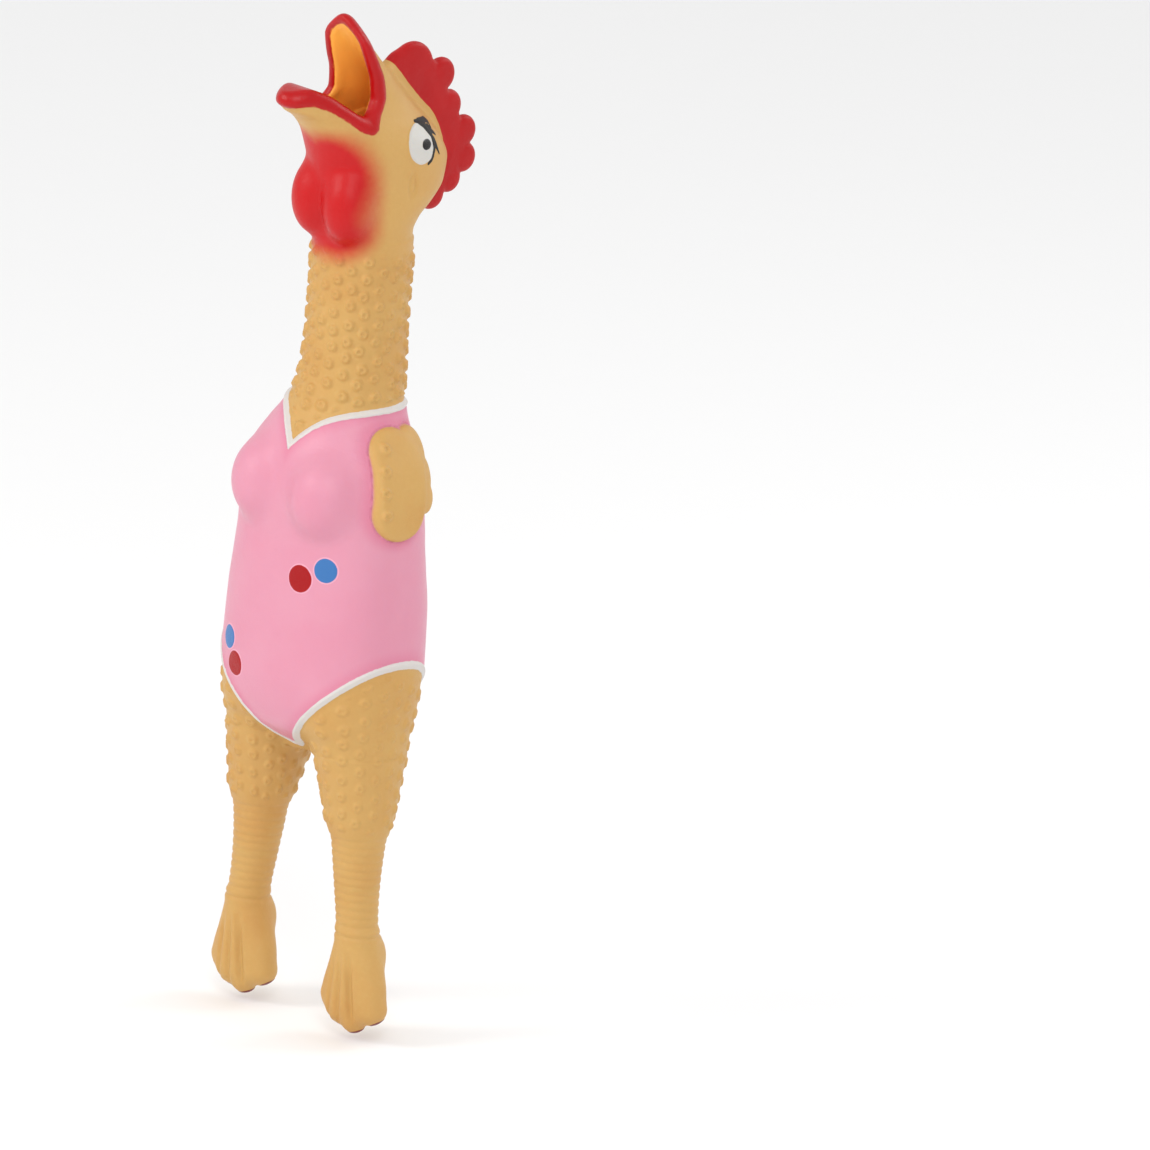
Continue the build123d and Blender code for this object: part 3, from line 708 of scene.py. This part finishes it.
def relief(points, paint):
    """How far the moulding's surface details stand out, in millimetres."""
    x, y, z = points.T
    side_x = np.abs(x)
    out = np.zeros(len(x))
    on_torso = ramp(z, 116, 122) * ramp(z, 296, 290)
    suit = np.where(paint["feather"] > 0, 9.0, paint["suit"])
    cloth = ramp(suit, -0.5, 0.6) * np.where(paint["feather"] > -0.2, 0, 1)
    out += HEM_PROUD * cloth * on_torso
    bead = np.sqrt(np.clip(1 - (paint["suit"] / PIPING_HALF) ** 2, 0, 1))
    out += PIPING_PROUD * bead * on_torso * (paint["feather"] < 0)
    # Pimples on the neck, on the thighs and along the wings' front edges.
    neck_turn = np.degrees(np.arctan2(x, -y)) % 360
    neck = bump_height(neck_turn, z, NECK_RADIUS, 20, 262.0, SEED)
    on_neck = ramp(-paint["suit"], 3.0, 4.5) * ramp(z, 262, 266) * ramp(z, 361, 356)
    out += neck * on_neck
    for side in (-1, 1):
        turn = np.degrees(np.arctan2((x - side * 29.8) * side, -(y + 5.0))) % 360
        thigh = bump_height(turn, z, 20.5, 15, 92.0, SEED + 2 + side)
        on_thigh = ramp(-paint["suit"], 3.0, 4.5) * ramp(z, 94.5, 97.0) * (z < 180) * (x * side > 0)
        out += THIGH_BUMPS * thigh * on_thigh
    # The thighs' skin ends in a low step, like trousers over the shanks.
    out += THIGH_STEP * ramp(z, 90.6, 92.4) * ramp(-paint["suit"], 1.0, 6.0) * (z < 130)
    out += wing_bumps(x, y, z) * ramp(paint["feather"], 0.6, 1.8)
    # Rings round the shanks, and the crease at the ankle.
    on_shank = ramp(z, 47.5, 50.0) * ramp(z, 90.5, 87.5)
    out -= SHANK_GROOVE * on_shank * bell(((z - SHANK_RINGS_LOW) % SHANK_RING) - SHANK_RING / 2, 0.62)
    out -= CREASE * bell(z - ANKLE_CREASE, 0.8) * (z < 60)
    # The face: the eyes' raised whites, the lids and the cheeks' dimples. Then the spots and the nails.
    out += EYE_PROUD * ramp(paint["eye_white"], -0.5, 0.6) + PAINT_PROUD * ramp(paint["lash"], -0.3, 0.3)
    out += PAINT_PROUD * ramp(paint["pupil"], -0.2, 0.3)
    depth, height, half_depth, half_height = CHEEK_DIMPLE
    dimple = np.sqrt(((y - depth) / half_depth) ** 2 + ((z - height) / half_height) ** 2) - 1
    out -= CREASE * bell(dimple, 0.4) * (side_x > 15)
    spot = np.maximum(paint["red_spot"], paint["blue_spot"])
    out += PAINT_PROUD * ramp(spot, -0.4, 0.4) * (suit > 0)
    out += NAIL_PROUD * ramp(paint["nail"], -0.3, 0.3)
    out -= toe_grooves(x, z)
    return out


# ---------------------------------------------------------------- sharing the skin out to the bodies
CAP_SINK = 1.0  # how far a seam's rim goes under the skin
SEAM_NECK = 325.0
SEAM_SHOULDER = 292.0
SEAM_THIGH = 101.0
SEAM_SHANK = 68.0
BEAK_LOW, BEAK_HIGH = 400.0, 445.0  # the lower beak lies between these heights
LEGS_HIGH = 178.0
UNDER_HEM = 1.6  # the torso keeps this much skin under the hem's piping
CHIN = (-20.0, 417.5)  # depth and height of the mouth's corners
CHIN_NORMAL = (-0.6, 0.8)
HIP_ASIDE = 30.0
# Each bend's two ends, where its skin would start to follow the far body and where it would follow it fully:
# heights, or distances from the mouth's corners and from the leg opening. The plans hold them as points; this
# script blends no skin between bodies.
BEND_NECK = (SEAM_SHOULDER + 0.5, 317.0)
BEND_HEAD = (338.0, 361.0)
BEND_CHIN = (0.8, 17.0)
BEND_HIP = (2.4, 26.0)
BEND_KNEE = (100.0, 81.0)
BEND_ANKLE = (56.0, 41.0)


def shares(middles):
    """The piece that each face belongs to, by its middle."""
    x, y, z = middles.T
    names = np.full(len(x), "torso_skin", dtype=object)
    names[z > SEAM_SHOULDER] = "neck"
    names[z > SEAM_NECK] = "head"
    over_chin = (y - CHIN[0]) * CHIN_NORMAL[0] + (z - CHIN[1]) * CHIN_NORMAL[1]
    names[(over_chin > 0) & (y < CHIN[0] + 1.0) & (z > BEAK_LOW) & (z < BEAK_HIGH)] = "beak"
    below = (hem(x, z) < -UNDER_HEM) & (z < LEGS_HIGH)
    for side, word in ((1, "left"), (-1, "right")):
        leg_side = below & (x * side > 0)
        names[leg_side & (z > SEAM_THIGH)] = f"thigh_{word}"
        names[leg_side & (z <= SEAM_THIGH) & (z > SEAM_SHANK)] = f"shank_{word}"
        names[leg_side & (z <= SEAM_SHANK)] = f"foot_{word}"
    return names


def rims_of(quads):
    """The loops of points along a share's cut rims."""
    known = {tuple(pair) for pair in sides_of(quads)}
    rims = {a: b for b, a in known if (a, b) not in known}
    loops = []
    while rims:
        first, here = rims.popitem()
        loop = [first]
        while here != first and here in rims:
            loop.append(here)
            here = rims.pop(here)
        loops.append(loop)
    return loops


def make_piece(name, points, quads, normals, paint, wanted):
    """One share of the skin as an object, with its paint lines and its rest place as attributes."""
    used, local = np.unique(quads, return_inverse=True)
    local = local.reshape(-1, 4)
    spots_of = points[used]
    faces = [tuple(q) for q in local.tolist()]
    # Each cut rim is closed by a wall that sinks under the skin, so that nothing shows at the seam.
    for loop in rims_of(local):
        if len(loop) > 3:
            sunk = np.arange(len(loop)) + len(spots_of)
            spots_of = np.concatenate([spots_of, spots_of[loop] - normals[used][loop] * CAP_SINK])
            used = np.concatenate([used, used[loop]])
            for i, j in zip(range(len(loop)), [*range(1, len(loop)), 0]):
                faces.append((loop[i], loop[j], int(sunk[j]), int(sunk[i])))
            faces.append(tuple(sunk.tolist()))
    mesh = bpy.data.meshes.new(name)
    mesh.from_pydata(place(spots_of).tolist(), [], faces)
    mesh.polygons.foreach_set("use_smooth", np.ones(len(faces), bool))
    for key in wanted:
        layer = mesh.attributes.new(key, "FLOAT", "POINT")
        layer.data.foreach_set("value", np.clip(paint[key][used], -PAINT_REACH, PAINT_REACH).astype(np.float32))
    rest = mesh.attributes.new("rest", "FLOAT_VECTOR", "POINT")
    rest.data.foreach_set("vector", spots_of.astype(np.float32).ravel())
    mesh.normals_split_custom_set_from_vertices(normals[used].tolist())
    thing = bpy.data.objects.new(name, mesh)
    bpy.context.scene.collection.objects.link(thing)
    return thing


# ---------------------------------------------------------------- materials
def srgb(red, green, blue):
    """A screen colour of 0 to 255 as the linear colour that a shader takes."""
    linear = [c / 255 / 12.92 if c <= 10 else ((c / 255 + 0.055) / 1.055) ** 2.4 for c in (red, green, blue)]
    return (*linear, 1.0)


SKIN = srgb(198, 156, 91)
SKIN_WARM = srgb(195, 148, 83)
SKIN_LIGHT = srgb(214, 174, 108)
PINK = srgb(213, 144, 164)
PINK_DEEP = srgb(208, 120, 146)
PIPING = srgb(208, 203, 199)
RED = srgb(172, 4, 8)
RED_LIGHT = srgb(180, 10, 18)
COMB_RED = srgb(172, 0, 4)
COMB_LIGHT = srgb(180, 8, 12)
SPRAY_RED = srgb(188, 12, 16)
BLUE = srgb(58, 112, 172)
SPOT_RED = srgb(158, 0, 6)
SPOT_RIM = srgb(226, 160, 180)
EYE_WHITE = srgb(199, 196, 190)
BLACK = srgb(20, 18, 17)
# The mouth's inside is the skin a little more orange, brightened past that as a painted glow: it stands in for
# light shining through the thin latex into the cavity.
MOUTH_ORANGE_AND_PAINTED_GLOW = srgb(255, 184, 82)
MOUTH_PATCH_ORANGE_AND_PAINTED_GLOW = srgb(255, 174, 66)
NAIL = srgb(112, 14, 26)


class Shader:
    """A short way to write node trees."""

    def __init__(self, name):
        self.material = bpy.data.materials.new(name)
        self.material.use_nodes = True
        self.tree = self.material.node_tree
        self.tree.nodes.clear()

    def node(self, kind, **settings):
        made = self.tree.nodes.new(kind)
        for key, value in settings.items():
            setattr(made, key, value)
        return made

    def put(self, socket, value):
        if isinstance(value, bpy.types.NodeSocket):
            self.tree.links.new(value, socket)
        else:
            socket.default_value = value

    def math(self, operation, *values):
        made = self.node("ShaderNodeMath", operation=operation)
        for socket, value in zip(made.inputs, values):
            self.put(socket, value)
        return made.outputs[0]

    def attribute(self, name, output="Fac"):
        return self.node("ShaderNodeAttribute", attribute_name=name).outputs[output]

    def noise(self, scale, detail=2.0, rough=0.5):
        """Noise in the moulding's own millimetres, so that it stays put when the skin bends."""
        made = self.node("ShaderNodeTexNoise")
        self.put(made.inputs["Vector"], self.attribute("rest", "Vector"))
        self.put(made.inputs["Scale"], scale)
        self.put(made.inputs["Detail"], detail)
        self.put(made.inputs["Roughness"], rough)
        return made.outputs["Fac"]

    def step(self, value, low, high):
        made = self.node("ShaderNodeMapRange", interpolation_type="SMOOTHSTEP")
        for socket, item in zip(made.inputs, (value, low, high, 0.0, 1.0)):
            self.put(socket, item)
        return made.outputs["Result"]

    def mix(self, share, first, second):
        made = self.node("ShaderNodeMix", data_type="RGBA")
        self.put(made.inputs["Factor"], share)
        self.put(made.inputs["A"], first)
        self.put(made.inputs["B"], second)
        return made.outputs["Result"]

    def blend_number(self, share, first, second):
        made = self.node("ShaderNodeMix", data_type="FLOAT")
        self.put(made.inputs["Factor"], share)
        self.put(made.inputs[2], first)
        self.put(made.inputs[3], second)
        return made.outputs[0]

    def finish(self, colour, roughness, height, subsurface=0.12, bump=0.25):
        surface = self.node("ShaderNodeBsdfPrincipled")
        self.put(surface.inputs["Base Color"], colour)
        self.put(surface.inputs["Roughness"], roughness)
        self.put(surface.inputs["IOR"], 1.48)
        self.put(surface.inputs["Specular IOR Level"], 0.3)
        self.put(surface.inputs["Subsurface Weight"], subsurface)
        self.put(surface.inputs["Subsurface Radius"], (1.0, 0.45, 0.25))
        self.put(surface.inputs["Subsurface Scale"], 0.0025)
        relief_node = self.node("ShaderNodeBump")
        self.put(relief_node.inputs["Strength"], bump)
        self.put(relief_node.inputs["Distance"], 0.0004)
        self.put(relief_node.inputs["Height"], height)
        self.put(surface.inputs["Normal"], relief_node.outputs["Normal"])
        end = self.node("ShaderNodeOutputMaterial")
        self.tree.links.new(surface.outputs[0], end.inputs["Surface"])
        return self.material


def latex(name, layers):
    """Painted latex: the skin's colour with each layer of paint over it, and a fine moulded grain.

    A layer covers where its line's distance is positive. "under" keeps it inside another line, "outside" off
    another one, and "band" makes it a strip on its line. "edge" is how far the paint fades, "wobble" how uneven
    its rim is, "deep" a second tone in patches, and "edge_colour" a tone near the rim.
    """
    s = Shader(name)
    wobble = s.math("MULTIPLY", s.math("SUBTRACT", s.noise(0.35, 3.0), 0.5), 0.5)
    patches = s.noise(0.035, 3.0)
    mottle = s.noise(0.5, 4.0, 0.6)
    colour = s.mix(s.step(patches, 0.35, 0.75), SKIN, SKIN_WARM)
    colour = s.mix(s.math("MULTIPLY", s.step(mottle, 0.4, 0.8), 0.12), colour, SKIN_LIGHT)
    roughness = s.blend_number(patches, 0.40, 0.52)
    for layer in layers:
        inside = s.math("ADD", s.attribute(layer["line"]), s.math("MULTIPLY", wobble, layer.get("wobble", 1.0)))
        if "under" in layer:
            inside = s.math("MINIMUM", inside, s.attribute(layer["under"]))
        if "outside" in layer:
            inside = s.math("MINIMUM", inside, s.math("MULTIPLY", s.attribute(layer["outside"]), -1.0))
        if "band" in layer:
            inside = s.math("SUBTRACT", layer["band"], s.math("ABSOLUTE", inside))
        low, high = layer.get("edge", (-0.12, 0.18))
        share = s.step(inside, low, high)
        paint = layer["colour"]
        if "deep" in layer:
            tone = s.step(s.noise(layer.get("tone", 0.03), 3.0), 0.35, 0.7)
            paint = s.mix(s.math("MULTIPLY", tone, layer.get("tone_by", 0.6)), paint, layer["deep"])
        if "edge_colour" in layer:
            at_edge = s.step(inside, layer.get("edge_reach", 3.0), 0.0)
            paint = s.mix(s.math("MULTIPLY", at_edge, 0.8), paint, layer["edge_colour"])
        colour = s.mix(share, colour, paint)
        roughness = s.blend_number(share, roughness, layer.get("roughness", 0.38))
    grain = s.math("ADD", s.noise(2.6, 3.0, 0.6), s.math("MULTIPLY", s.noise(0.45, 2.0), 1.4))
    return s.finish(colour, roughness, grain)


SUIT_LAYERS = [
    dict(line="suit", outside="feather", colour=PINK, deep=PINK_DEEP, tone_by=0.22, edge_colour=PINK_DEEP,
         edge_reach=7.0, roughness=0.36),
    dict(line="blue_spot", under="suit", colour=SPOT_RIM, edge=(-0.8, -0.4), wobble=0.4),
    dict(line="red_spot", under="suit", colour=SPOT_RIM, edge=(-0.8, -0.4), wobble=0.4),
    dict(line="blue_spot", under="suit", colour=BLUE, wobble=0.6, roughness=0.33),
    dict(line="red_spot", under="suit", colour=SPOT_RED, wobble=0.6, roughness=0.33),
    dict(line="suit", band=PIPING_HALF + 0.1, colour=PIPING, wobble=1.2),
]
HEM_LAYERS = [SUIT_LAYERS[0], SUIT_LAYERS[-1]]
FACE_LAYERS = [
    dict(line="spray", colour=SPRAY_RED, edge=(-9.0, 3.5), wobble=3.0, roughness=0.38),
    dict(line="comb_red", colour=COMB_RED, deep=COMB_LIGHT, tone=0.06, wobble=0.8, roughness=0.42),
    dict(line="eye_white", colour=EYE_WHITE, wobble=0.7, roughness=0.30),
    dict(line="pupil", colour=BLACK, wobble=0.4, roughness=0.25),
    dict(line="lash", colour=BLACK, wobble=0.25, roughness=0.55),
    # The mouth's colours carry a painted glow, standing in for light that comes through the thin latex.
    dict(line="mouth", colour=MOUTH_ORANGE_AND_PAINTED_GLOW, deep=MOUTH_PATCH_ORANGE_AND_PAINTED_GLOW, tone_by=0.5, wobble=0.5, roughness=0.36),
    dict(line="lip", colour=RED, deep=RED_LIGHT, tone=0.08, wobble=0.8, roughness=0.30),
]
FOOT_LAYERS = [dict(line="nail", colour=NAIL, wobble=0.4, roughness=0.28)]


def plastic(name, colour, gloss=0.35):
    """Moulded plastic with a faint grain."""
    s = Shader(name)
    place_in = s.node("ShaderNodeTexCoord").outputs["Object"]
    grain = s.node("ShaderNodeTexNoise")
    s.put(grain.inputs["Vector"], place_in)
    s.put(grain.inputs["Scale"], 900.0)
    tint = s.mix(s.math("MULTIPLY", grain.outputs["Fac"], 0.15), colour, srgb(150, 140, 120))
    return s.finish(tint, gloss, grain.outputs["Fac"], 0.0, 0.1)


# ---------------------------------------------------------------- the pieces
def line_names(layers):
    keys = set()
    for layer in layers:
        for part in ("line", "under", "outside"):
            if part in layer:
                keys.add(layer[part])
    return sorted(keys)


def point_m(x, y, z):
    return tuple(place([(x, y, z)])[0])


def chin_point(along):
    return point_m(0.0, CHIN[0] + CHIN_NORMAL[0] * along, CHIN[1] + CHIN_NORMAL[1] * along)


def axis_points(heights):
    return [point_m(0.0, 0.0, height) for height in heights]


def hip_point(side, along):
    """A point under the leg opening's plane, measured square to it."""
    reach = along / math.sqrt(2)
    return point_m(side * (HIP_ASIDE + reach), 0.0, HEM_LOW + HIP_ASIDE - reach)


def build_skin():
    field = chicken_field()
    points, quads = skin_surface(field)
    edges = edges_of(quads)
    points = smoothed(points, edges, 4)
    flat = face_normals(points, quads)
    volume = np.einsum("ij,ij->", points[quads[:, 0]], flat)
    if volume < 0:
        quads = quads[:, ::-1].copy()
    paint = paint_distances(points)
    normals = point_normals(points, quads)
    outer = points + normals * relief(points, paint)[:, None]
    normals = point_normals(outer, quads)
    names = shares(points[quads].mean(axis=1))
    plans = {
        "torso_skin": (SUIT_LAYERS, "torso", "torso", None,
                       ["torso_skin", "neckline_piping", "leg_piping_left", "leg_piping_right", "red_spots",
                        "blue_spots", "wing_left", "wing_right"]),
        "neck": ([], "torso", "neck", axis_points(BEND_NECK), ["neck_base_sleeve", "neck_skin"]),
        "head": (FACE_LAYERS, "neck", "head", axis_points(BEND_HEAD),
                 ["head_base_sleeve", "head_skin", "comb", "eye_left", "eye_right", "pupil_left", "pupil_right",
                  "eyelash_left", "eyelash_right", "wattle_left", "wattle_right", "upper_beak_lip", "beak_web"]),
        "beak": (FACE_LAYERS, "head", "lower_beak", [chin_point(along) for along in BEND_CHIN],
                 ["lower_beak_skin", "lower_beak_lip"]),
    }
    for side, word in ((1, "left"), (-1, "right")):
        thigh, shank, foot_name = (f"{part}_{word}" for part in ("thigh", "shank", "foot"))
        plans[thigh] = (HEM_LAYERS, "torso", thigh, [hip_point(side, along) for along in BEND_HIP],
                        [f"hip_sleeve_{word}", thigh])
        plans[shank] = ([], thigh, shank, axis_points(BEND_KNEE), [f"knee_sleeve_{word}", shank])
        plans[foot_name] = (FOOT_LAYERS, shank, foot_name, axis_points(BEND_ANKLE),
                            [f"ankle_sleeve_{word}", foot_name, f"toenails_{word}"])
    materials = {}
    for name, (layers, body, far_body, bend, nodes) in plans.items():
        kind = name.split("_")[0]
        if kind not in materials:
            materials[kind] = latex(f"painted_latex_{kind}", layers)
        chosen = quads[names == name]
        piece = make_piece(f"latex_{name}", outer, chosen, normals, paint, line_names(layers))
        piece.data.materials.append(materials[kind])
        if bend is None:
            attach(piece, body)
        else:
            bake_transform(piece)
        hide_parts(*nodes)


build_skin()

VOICE_FINISH = {
    "voice_box_housing": plastic("voice_housing", srgb(232, 226, 206)),
    "voice_box_cap": plastic("voice_cap", srgb(240, 150, 60)),
    "reed_block": plastic("voice_block", srgb(226, 224, 216)),
    "reed_clamp": plastic("voice_clamp", srgb(200, 200, 196)),
    "reed": plastic("voice_reed", srgb(240, 240, 236), 0.2),
}
for node_name, finish in VOICE_FINISH.items():
    node_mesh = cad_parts[node_name].data
    node_mesh.materials.clear()
    node_mesh.materials.append(finish)


# ---------------------------------------------------------------- floor, light and camera
FLOOR_HALF = 12.0
FLOOR_GAP = 0.004


def stage_floor():
    """A pale plain floor, a little under the toes."""
    low = min(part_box(f"foot_{word}")[0][2] for word in ("left", "right")) - FLOOR_GAP
    mesh = bpy.data.meshes.new("floor")
    corners = [(-1, -1), (1, -1), (1, 1), (-1, 1)]
    mesh.from_pydata([(a * FLOOR_HALF, b * FLOOR_HALF, low) for a, b in corners], [], [(0, 1, 2, 3)])
    thing = bpy.data.objects.new("floor", mesh)
    bpy.context.scene.collection.objects.link(thing)
    s = Shader("floor_paper")
    place_in = s.node("ShaderNodeTexCoord").outputs["Object"]
    tooth = s.node("ShaderNodeTexNoise")
    s.put(tooth.inputs["Vector"], place_in)
    s.put(tooth.inputs["Scale"], 40.0)
    colour = s.mix(s.math("MULTIPLY", tooth.outputs["Fac"], 0.05), srgb(246, 246, 246), srgb(235, 235, 235))
    mesh.materials.append(s.finish(colour, 0.8, tooth.outputs["Fac"], 0.0, 0.02))


def light(name, place_at, target, size, power, colour=(1, 1, 1)):
    data = bpy.data.lights.new(name, "AREA")
    data.shape = "DISK"
    data.size = size
    data.energy = power
    data.color = colour
    thing = bpy.data.objects.new(name, data)
    thing.location = place_at
    thing.rotation_mode = "QUATERNION"
    thing.rotation_quaternion = (Vector(target) - Vector(place_at)).to_track_quat("-Z", "Y")
    thing.visible_camera = False
    bpy.context.scene.collection.objects.link(thing)


def studio():
    world = bpy.data.worlds.new("studio")
    world.use_nodes = True
    sky = world.node_tree.nodes["Background"]
    sky.inputs["Color"].default_value = (1.0, 1.0, 1.0, 1.0)
    sky.inputs["Strength"].default_value = 0.88
    bpy.context.scene.world = world
    # The colours are matched to a plain screen, without a film look.
    bpy.context.scene.view_settings.view_transform = "Standard"
    aim = (0.0, 0.0, 0.02)
    light("key", (-0.55, -1.35, 0.85), aim, 0.6, 8.5, (1.0, 0.985, 0.96))
    light("fill", (1.05, -0.95, 1.0), aim, 0.7, 7.0, (0.98, 0.99, 1.0))
    light("rim", (0.4, 1.4, 1.0), aim, 0.8, 5.0)


AZIMUTH = 45.0
ELEVATION = 15.0
ROLL = 4.7
LENS = 800.0
SENSOR = 36.0
PICTURE_SPAN = 0.520  # the width of the picture, in metres, at the chicken
AIM_RIGHT = 0.1082  # the chicken stands left of the picture's middle
AIM_HEIGHT = 204.3  # the picture's middle, in millimetres above the toe tips


def camera():
    """A long lens from the chicken's front left, a little above it and slightly turned."""
    a, e = math.radians(AZIMUTH), math.radians(ELEVATION)
    back = Vector((math.sin(a) * math.cos(e), -math.cos(a) * math.cos(e), math.sin(e)))
    turned = (-back).to_track_quat("-Z", "Y").to_matrix() @ Matrix.Rotation(math.radians(ROLL), 3, "Z")
    aim = Vector(point_m(0, 0, AIM_HEIGHT)) + turned.col[0] * AIM_RIGHT
    distance = PICTURE_SPAN * LENS / SENSOR
    data = bpy.data.cameras.new("camera")
    data.lens = LENS
    data.sensor_width = SENSOR
    data.clip_start, data.clip_end = 0.05, 50.0
    thing = bpy.data.objects.new("camera", data)
    thing.location = aim + back * distance
    thing.rotation_mode = "QUATERNION"
    thing.rotation_quaternion = turned.to_quaternion()
    bpy.context.scene.collection.objects.link(thing)
    bpy.context.scene.camera = thing


stage_floor()
studio()
camera()
